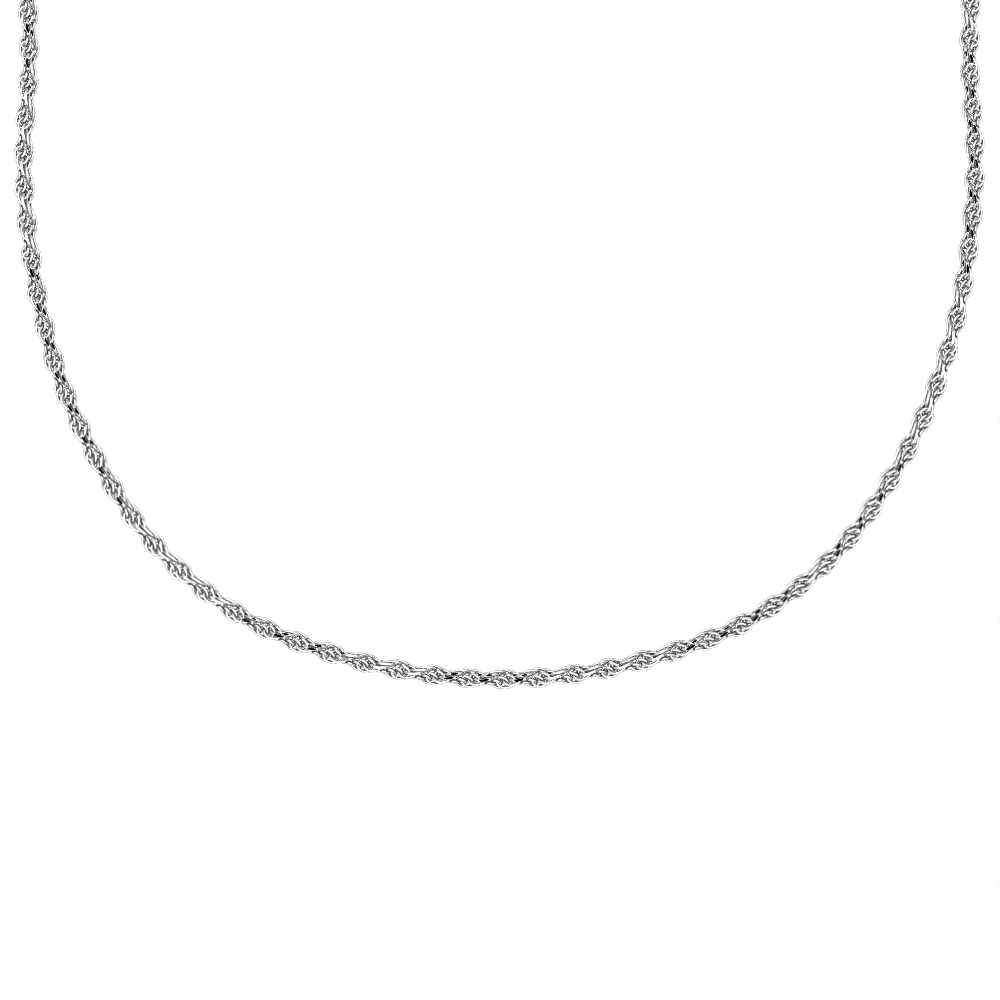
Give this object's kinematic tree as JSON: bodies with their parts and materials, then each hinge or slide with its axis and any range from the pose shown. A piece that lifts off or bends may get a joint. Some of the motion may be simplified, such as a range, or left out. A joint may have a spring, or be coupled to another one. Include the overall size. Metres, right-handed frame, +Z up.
{
  "type": "chain necklace",
  "caption": "Rope-chain necklace of interlocked C-shaped silver links in a double helix, with end caps, jump rings, lobster clasp and end ring.",
  "frame": {"origin": "middle of the bounding box's base, on the surface the necklace lies on", "axes": "+Z up from the surface, +Y from the front of the necklace towards its clasp ends, +X to the side with the end ring"},
  "size_m": [0.1262, 0.2004, 0.0025],
  "materials": {
    "sterling_silver": "polished sterling silver",
    "spring_steel": "bright spring wire"
  },
  "bodies": {
    "front": {"rope_front": "sterling_silver"},
    "right_01": {"rope_right_01": "sterling_silver"},
    "right_02": {"rope_right_02": "sterling_silver"},
    "right_03": {"rope_right_03": "sterling_silver"},
    "right_04": {"rope_right_04": "sterling_silver"},
    "right_05": {"rope_right_05": "sterling_silver"},
    "right_06": {"rope_right_06": "sterling_silver"},
    "right_07": {"rope_right_07": "sterling_silver"},
    "right_08": {"rope_right_08": "sterling_silver"},
    "right_09": {"rope_right_09": "sterling_silver"},
    "right_10": {"rope_right_10": "sterling_silver"},
    "right_11": {"rope_right_11": "sterling_silver"},
    "right_12": {"rope_right_12": "sterling_silver"},
    "right_13": {"rope_right_13": "sterling_silver"},
    "right_14": {"rope_right_14": "sterling_silver"},
    "right_15": {"rope_right_15": "sterling_silver"},
    "right_16": {"rope_right_16": "sterling_silver"},
    "right_17": {"rope_right_17": "sterling_silver"},
    "right_18": {"rope_right_18": "sterling_silver"},
    "right_19": {"rope_right_19": "sterling_silver"},
    "right_20": {"rope_right_20": "sterling_silver"},
    "right_21": {"rope_right_21": "sterling_silver"},
    "right_22": {"rope_right_22": "sterling_silver"},
    "right_23": {"rope_right_23": "sterling_silver"},
    "right_24": {"rope_right_24": "sterling_silver", "right_end_cap": "sterling_silver"},
    "left_01": {"rope_left_01": "sterling_silver"},
    "left_02": {"rope_left_02": "sterling_silver"},
    "left_03": {"rope_left_03": "sterling_silver"},
    "left_04": {"rope_left_04": "sterling_silver"},
    "left_05": {"rope_left_05": "sterling_silver"},
    "left_06": {"rope_left_06": "sterling_silver"},
    "left_07": {"rope_left_07": "sterling_silver"},
    "left_08": {"rope_left_08": "sterling_silver"},
    "left_09": {"rope_left_09": "sterling_silver"},
    "left_10": {"rope_left_10": "sterling_silver"},
    "left_11": {"rope_left_11": "sterling_silver"},
    "left_12": {"rope_left_12": "sterling_silver"},
    "left_13": {"rope_left_13": "sterling_silver"},
    "left_14": {"rope_left_14": "sterling_silver"},
    "left_15": {"rope_left_15": "sterling_silver"},
    "left_16": {"rope_left_16": "sterling_silver"},
    "left_17": {"rope_left_17": "sterling_silver"},
    "left_18": {"rope_left_18": "sterling_silver"},
    "left_19": {"rope_left_19": "sterling_silver"},
    "left_20": {"rope_left_20": "sterling_silver"},
    "left_21": {"rope_left_21": "sterling_silver"},
    "left_22": {"rope_left_22": "sterling_silver"},
    "left_23": {"rope_left_23": "sterling_silver"},
    "left_24": {"rope_left_24": "sterling_silver", "left_end_cap": "sterling_silver"},
    "right_ring": {"right_jump_ring": "sterling_silver"},
    "left_ring": {"left_jump_ring": "sterling_silver"},
    "end_ring": {"end_ring": "sterling_silver"},
    "tag": {"quality_tag": "sterling_silver"},
    "clasp": {"clasp_body": "sterling_silver", "clasp_pin": "sterling_silver", "clasp_spring": "spring_steel"},
    "trigger": {"clasp_trigger": "sterling_silver"}
  },
  "joints": [
    {"name": "flex_right_01", "type": "hinge", "parent": "front", "child": "right_01", "pos_m": [0.00447, -0.09897, 0.00125], "axis": [-0.0438, 0.7057, 0.7071], "range_deg": [-35, 35]},
    {"name": "flex_right_02", "type": "hinge", "parent": "right_01", "child": "right_02", "pos_m": [0.01336, -0.09786, 0.00125], "axis": [0.1307, -0.6949, -0.7071], "range_deg": [-35, 35]},
    {"name": "flex_right_03", "type": "hinge", "parent": "right_02", "child": "right_03", "pos_m": [0.02203, -0.09567, 0.00125], "axis": [0.2156, -0.6734, 0.7071], "range_deg": [-35, 35]},
    {"name": "flex_right_04", "type": "hinge", "parent": "right_03", "child": "right_04", "pos_m": [0.03037, -0.09242, 0.00125], "axis": [-0.3194, 0.6309, -0.7071], "range_deg": [-35, 35]},
    {"name": "flex_right_05", "type": "hinge", "parent": "right_04", "child": "right_05", "pos_m": [0.03793, -0.08762, 0.00125], "axis": [-0.4349, 0.5576, 0.7071], "range_deg": [-35, 35]},
    {"name": "flex_right_06", "type": "hinge", "parent": "right_05", "child": "right_06", "pos_m": [0.04442, -0.08146, 0.00125], "axis": [0.5341, -0.4634, -0.7071], "range_deg": [-35, 35]},
    {"name": "flex_right_07", "type": "hinge", "parent": "right_06", "child": "right_07", "pos_m": [0.0496, -0.07417, 0.00125], "axis": [0.6013, -0.3721, 0.7071], "range_deg": [-35, 35]},
    {"name": "flex_right_08", "type": "hinge", "parent": "right_07", "child": "right_08", "pos_m": [0.05382, -0.06627, 0.00125], "axis": [-0.6437, 0.2927, -0.7071], "range_deg": [-35, 35]},
    {"name": "flex_right_09", "type": "hinge", "parent": "right_08", "child": "right_09", "pos_m": [0.057, -0.0579, 0.00125], "axis": [-0.6757, 0.2085, 0.7071], "range_deg": [-35, 35]},
    {"name": "flex_right_10", "type": "hinge", "parent": "right_09", "child": "right_10", "pos_m": [0.05909, -0.0492, 0.00125], "axis": [0.6949, -0.1307, -0.7071], "range_deg": [-35, 35]},
    {"name": "flex_right_11", "type": "hinge", "parent": "right_10", "child": "right_11", "pos_m": [0.0603, -0.04033, 0.00125], "axis": [0.7045, -0.061, 0.7071], "range_deg": [-35, 35]},
    {"name": "flex_right_12", "type": "hinge", "parent": "right_11", "child": "right_12", "pos_m": [0.06063, -0.03139, 0.00125], "axis": [-0.707, -0.0093, -0.7071], "range_deg": [-35, 35]},
    {"name": "flex_right_13", "type": "hinge", "parent": "right_12", "child": "right_13", "pos_m": [0.06007, -0.02246, 0.00125], "axis": [-0.7068, -0.0197, 0.7071], "range_deg": [-35, 35]},
    {"name": "flex_right_14", "type": "hinge", "parent": "right_13", "child": "right_14", "pos_m": [0.06013, -0.01351, 0.00125], "axis": [0.7065, -0.0296, -0.7071], "range_deg": [-35, 35]},
    {"name": "flex_right_15", "type": "hinge", "parent": "right_14", "child": "right_15", "pos_m": [0.06082, -0.00458, 0.00125], "axis": [0.7055, -0.0475, 0.7071], "range_deg": [-35, 35]},
    {"name": "flex_right_16", "type": "hinge", "parent": "right_15", "child": "right_16", "pos_m": [0.06133, 0.00435, 0.00125], "axis": [-0.7063, 0.0339, -0.7071], "range_deg": [-35, 35]},
    {"name": "flex_right_17", "type": "hinge", "parent": "right_16", "child": "right_17", "pos_m": [0.06168, 0.01329, 0.00125], "axis": [-0.7068, 0.0204, 0.7071], "range_deg": [-35, 35]},
    {"name": "flex_right_18", "type": "hinge", "parent": "right_17", "child": "right_18", "pos_m": [0.06185, 0.02224, 0.00125], "axis": [0.7071, -0.0068, -0.7071], "range_deg": [-35, 35]},
    {"name": "flex_right_19", "type": "hinge", "parent": "right_18", "child": "right_19", "pos_m": [0.06185, 0.03119, 0.00125], "axis": [0.7071, 0.0068, 0.7071], "range_deg": [-35, 35]},
    {"name": "flex_right_20", "type": "hinge", "parent": "right_19", "child": "right_20", "pos_m": [0.06168, 0.04014, 0.00125], "axis": [-0.7068, -0.0204, -0.7071], "range_deg": [-35, 35]},
    {"name": "flex_right_21", "type": "hinge", "parent": "right_20", "child": "right_21", "pos_m": [0.06133, 0.04908, 0.00125], "axis": [-0.7063, -0.0339, 0.7071], "range_deg": [-35, 35]},
    {"name": "flex_right_22", "type": "hinge", "parent": "right_21", "child": "right_22", "pos_m": [0.06082, 0.05802, 0.00125], "axis": [0.7055, 0.0475, -0.7071], "range_deg": [-35, 35]},
    {"name": "flex_right_23", "type": "hinge", "parent": "right_22", "child": "right_23", "pos_m": [0.06013, 0.06694, 0.00125], "axis": [0.7045, 0.061, 0.7071], "range_deg": [-35, 35]},
    {"name": "flex_right_24", "type": "hinge", "parent": "right_23", "child": "right_24", "pos_m": [0.05927, 0.07585, 0.00125], "axis": [-0.7032, -0.0745, -0.7071], "range_deg": [-35, 35]},
    {"name": "flex_left_01", "type": "hinge", "parent": "front", "child": "left_01", "pos_m": [-0.00447, -0.09897, 0.00125], "axis": [0.0438, 0.7057, -0.7071], "range_deg": [-35, 35]},
    {"name": "flex_left_02", "type": "hinge", "parent": "left_01", "child": "left_02", "pos_m": [-0.01336, -0.09786, 0.00125], "axis": [-0.1307, -0.6949, 0.7071], "range_deg": [-35, 35]},
    {"name": "flex_left_03", "type": "hinge", "parent": "left_02", "child": "left_03", "pos_m": [-0.02203, -0.09567, 0.00125], "axis": [-0.2156, -0.6734, -0.7071], "range_deg": [-35, 35]},
    {"name": "flex_left_04", "type": "hinge", "parent": "left_03", "child": "left_04", "pos_m": [-0.03037, -0.09242, 0.00125], "axis": [0.3194, 0.6309, 0.7071], "range_deg": [-35, 35]},
    {"name": "flex_left_05", "type": "hinge", "parent": "left_04", "child": "left_05", "pos_m": [-0.03793, -0.08762, 0.00125], "axis": [0.4349, 0.5576, -0.7071], "range_deg": [-35, 35]},
    {"name": "flex_left_06", "type": "hinge", "parent": "left_05", "child": "left_06", "pos_m": [-0.04442, -0.08146, 0.00125], "axis": [-0.5341, -0.4634, 0.7071], "range_deg": [-35, 35]},
    {"name": "flex_left_07", "type": "hinge", "parent": "left_06", "child": "left_07", "pos_m": [-0.0496, -0.07417, 0.00125], "axis": [-0.6013, -0.3721, -0.7071], "range_deg": [-35, 35]},
    {"name": "flex_left_08", "type": "hinge", "parent": "left_07", "child": "left_08", "pos_m": [-0.05382, -0.06627, 0.00125], "axis": [0.6437, 0.2927, 0.7071], "range_deg": [-35, 35]},
    {"name": "flex_left_09", "type": "hinge", "parent": "left_08", "child": "left_09", "pos_m": [-0.057, -0.0579, 0.00125], "axis": [0.6757, 0.2085, -0.7071], "range_deg": [-35, 35]},
    {"name": "flex_left_10", "type": "hinge", "parent": "left_09", "child": "left_10", "pos_m": [-0.05909, -0.0492, 0.00125], "axis": [-0.6949, -0.1307, 0.7071], "range_deg": [-35, 35]},
    {"name": "flex_left_11", "type": "hinge", "parent": "left_10", "child": "left_11", "pos_m": [-0.0603, -0.04033, 0.00125], "axis": [-0.7045, -0.061, -0.7071], "range_deg": [-35, 35]},
    {"name": "flex_left_12", "type": "hinge", "parent": "left_11", "child": "left_12", "pos_m": [-0.06063, -0.03139, 0.00125], "axis": [0.707, -0.0093, 0.7071], "range_deg": [-35, 35]},
    {"name": "flex_left_13", "type": "hinge", "parent": "left_12", "child": "left_13", "pos_m": [-0.06007, -0.02246, 0.00125], "axis": [0.7068, -0.0197, -0.7071], "range_deg": [-35, 35]},
    {"name": "flex_left_14", "type": "hinge", "parent": "left_13", "child": "left_14", "pos_m": [-0.06013, -0.01351, 0.00125], "axis": [-0.7065, -0.0296, 0.7071], "range_deg": [-35, 35]},
    {"name": "flex_left_15", "type": "hinge", "parent": "left_14", "child": "left_15", "pos_m": [-0.06082, -0.00458, 0.00125], "axis": [-0.7055, -0.0475, -0.7071], "range_deg": [-35, 35]},
    {"name": "flex_left_16", "type": "hinge", "parent": "left_15", "child": "left_16", "pos_m": [-0.06133, 0.00435, 0.00125], "axis": [0.7063, 0.0339, 0.7071], "range_deg": [-35, 35]},
    {"name": "flex_left_17", "type": "hinge", "parent": "left_16", "child": "left_17", "pos_m": [-0.06168, 0.01329, 0.00125], "axis": [0.7068, 0.0204, -0.7071], "range_deg": [-35, 35]},
    {"name": "flex_left_18", "type": "hinge", "parent": "left_17", "child": "left_18", "pos_m": [-0.06185, 0.02224, 0.00125], "axis": [-0.7071, -0.0068, 0.7071], "range_deg": [-35, 35]},
    {"name": "flex_left_19", "type": "hinge", "parent": "left_18", "child": "left_19", "pos_m": [-0.06185, 0.03119, 0.00125], "axis": [-0.7071, 0.0068, -0.7071], "range_deg": [-35, 35]},
    {"name": "flex_left_20", "type": "hinge", "parent": "left_19", "child": "left_20", "pos_m": [-0.06168, 0.04014, 0.00125], "axis": [0.7068, -0.0204, 0.7071], "range_deg": [-35, 35]},
    {"name": "flex_left_21", "type": "hinge", "parent": "left_20", "child": "left_21", "pos_m": [-0.06133, 0.04908, 0.00125], "axis": [0.7063, -0.0339, -0.7071], "range_deg": [-35, 35]},
    {"name": "flex_left_22", "type": "hinge", "parent": "left_21", "child": "left_22", "pos_m": [-0.06082, 0.05802, 0.00125], "axis": [-0.7055, 0.0475, 0.7071], "range_deg": [-35, 35]},
    {"name": "flex_left_23", "type": "hinge", "parent": "left_22", "child": "left_23", "pos_m": [-0.06013, 0.06694, 0.00125], "axis": [-0.7045, 0.061, -0.7071], "range_deg": [-35, 35]},
    {"name": "flex_left_24", "type": "hinge", "parent": "left_23", "child": "left_24", "pos_m": [-0.05927, 0.07585, 0.00125], "axis": [0.7032, -0.0745, 0.7071], "range_deg": [-35, 35]},
    {"name": "right_ring_swing", "type": "hinge", "parent": "right_24", "child": "right_ring", "pos_m": [0.0579, 0.08772, 0.00125], "axis": [-0.9934, -0.1149, 0], "range_deg": [-60, 60]},
    {"name": "end_ring_swing", "type": "hinge", "parent": "right_ring", "child": "end_ring", "pos_m": [0.05773, 0.08917, 0.00125], "axis": [0, 0, 1], "range_deg": [-30, 30]},
    {"name": "left_ring_swing", "type": "hinge", "parent": "left_24", "child": "left_ring", "pos_m": [-0.0579, 0.08772, 0.00125], "axis": [-0.9934, 0.1149, 0], "range_deg": [-60, 60]},
    {"name": "clasp_swing", "type": "hinge", "parent": "left_ring", "child": "clasp", "pos_m": [-0.05773, 0.08917, 0.00125], "axis": [0, 0, 1], "range_deg": [-55, 55]},
    {"name": "tag_swing", "type": "hinge", "parent": "end_ring", "child": "tag", "pos_m": [0.05548, 0.0904, 0.00125], "axis": [-0.1149, 0.9934, 0], "range_deg": [-50, 50]},
    {"name": "trigger_pivot", "type": "hinge", "parent": "clasp", "child": "trigger", "pos_m": [-0.05599, 0.09246, 0.00125], "axis": [0, 0, 1], "range_deg": [0, 22], "stiffness_Nm_per_rad": 0.001, "springref_deg": -34.38}
  ]
}
